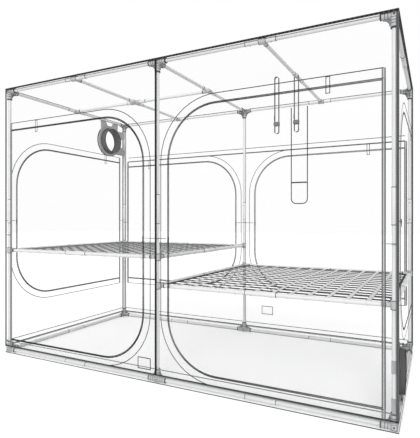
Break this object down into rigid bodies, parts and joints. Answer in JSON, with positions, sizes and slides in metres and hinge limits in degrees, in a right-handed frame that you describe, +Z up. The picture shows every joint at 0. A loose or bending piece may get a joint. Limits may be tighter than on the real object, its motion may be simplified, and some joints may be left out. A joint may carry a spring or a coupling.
{
  "type": "indoor grow tent",
  "caption": "Wide two-bay indoor grow tent with a tube frame, clear zipped cover, net shelves, duct ports and hanging straps.",
  "frame": {"origin": "middle of the floor, at the underside of the cover", "axes": "+Z up, the doors face -Y, the length runs along X"},
  "size_m": [3.029, 1.5146, 2.169],
  "materials": {
    "tube": "white powder coat",
    "connector": "moulded grey",
    "net": "knotted net",
    "film": "clear film",
    "shoe": "heavier coated cloth",
    "zip_metal": "dark zip slider",
    "webbing": "woven webbing",
    "bracket": "moulded light grey",
    "collar": "dark moulded collar"
  },
  "bodies": {
    "tent": {"post_front_left": "tube", "post_front_middle": "tube", "post_front_right": "tube", "post_rear_left": "tube", "post_rear_middle": "tube", "post_rear_right": "tube", "base_rail_front_left": "tube", "base_rail_front_right": "tube", "base_rail_rear_left": "tube", "base_rail_rear_right": "tube", "base_rail_side_left": "tube", "base_rail_side_right": "tube", "top_rail_front_left": "tube", "top_rail_front_right": "tube", "top_rail_rear_left": "tube", "top_rail_rear_right": "tube", "top_rail_side_left": "tube", "top_rail_side_right": "tube", "top_rail_centre": "tube", "cross_bar_left": "tube", "cross_bar_right": "tube", "hanging_bar_left": "tube", "corner_base_front_left": "connector", "corner_base_front_right": "connector", "corner_base_rear_left": "connector", "corner_base_rear_right": "connector", "corner_top_front_left": "connector", "corner_top_front_right": "connector", "corner_top_rear_left": "connector", "corner_top_rear_right": "connector", "joint_base_front": "connector", "joint_base_rear": "connector", "joint_top_front": "connector", "joint_top_rear": "connector", "roof": "film", "floor_shoe": "shoe", "floor_tray": "film", "wall_front": "film", "wall_rear": "film", "wall_left": "film", "wall_right": "film", "strap_roof": "webbing", "duct_bracket_upper": "bracket", "duct_bracket_lower": "bracket", "duct_collar_upper": "collar", "duct_collar_lower": "collar", "hanging_pocket": "film"},
    "left_door": {"door_front_left": "film"},
    "right_door": {"door_front_right": "film"},
    "left_slider": {"zip_slider_left": "zip_metal"},
    "right_slider": {"zip_slider_right": "zip_metal"},
    "rear_left_window": {"window_rear_left": "film"},
    "rear_right_window": {"window_rear_right": "film"},
    "side_left_window": {"window_side_left": "film"},
    "side_right_window": {"window_side_right": "film"},
    "left_shelf": {"shelf_frame_left": "tube", "shelf_net_left": "net"},
    "right_shelf": {"shelf_frame_right": "tube", "shelf_net_right": "net"},
    "bar_strap": {"strap_bar": "webbing"}
  },
  "joints": [
    {"name": "left_door_hinge", "type": "hinge", "parent": "tent", "child": "left_door", "pos_m": [-1.428, -0.75, 0.9665], "axis": [0, 0, -1], "range_deg": [0, 120]},
    {"name": "right_door_hinge", "type": "hinge", "parent": "tent", "child": "right_door", "pos_m": [1.428, -0.75, 0.9665], "axis": [0, 0, 1], "range_deg": [0, 120]},
    {"name": "rear_left_window_hinge", "type": "hinge", "parent": "tent", "child": "rear_left_window", "pos_m": [-1.445, 0.75, 1.0605], "axis": [0, 0, 1], "range_deg": [0, 120]},
    {"name": "rear_right_window_hinge", "type": "hinge", "parent": "tent", "child": "rear_right_window", "pos_m": [1.445, 0.75, 1.0605], "axis": [0, 0, -1], "range_deg": [0, 120]},
    {"name": "side_left_window_hinge", "type": "hinge", "parent": "tent", "child": "side_left_window", "pos_m": [-1.5, 0.675, 1.083], "axis": [0, 0, -1], "range_deg": [0, 120]},
    {"name": "side_right_window_hinge", "type": "hinge", "parent": "tent", "child": "side_right_window", "pos_m": [1.5, 0.675, 1.083], "axis": [0, 0, 1], "range_deg": [0, 120]},
    {"name": "left_zip_slide", "type": "slide", "parent": "left_door", "child": "left_slider", "axis": [0, 0, 1], "range_m": [-0.48, 0.48]},
    {"name": "right_zip_slide", "type": "slide", "parent": "right_door", "child": "right_slider", "axis": [0, 0, 1], "range_m": [-0.48, 0.48]},
    {"name": "left_shelf_slide", "type": "slide", "parent": "tent", "child": "left_shelf", "axis": [0, 0, 1], "range_m": [-0.06, 0.16]},
    {"name": "right_shelf_slide", "type": "slide", "parent": "tent", "child": "right_shelf", "axis": [0, 0, 1], "range_m": [-0.18, 0.04]},
    {"name": "strap_slide", "type": "slide", "parent": "tent", "child": "bar_strap", "axis": [0, 1, 0], "range_m": [-0.62, 0.7]}
  ]
}
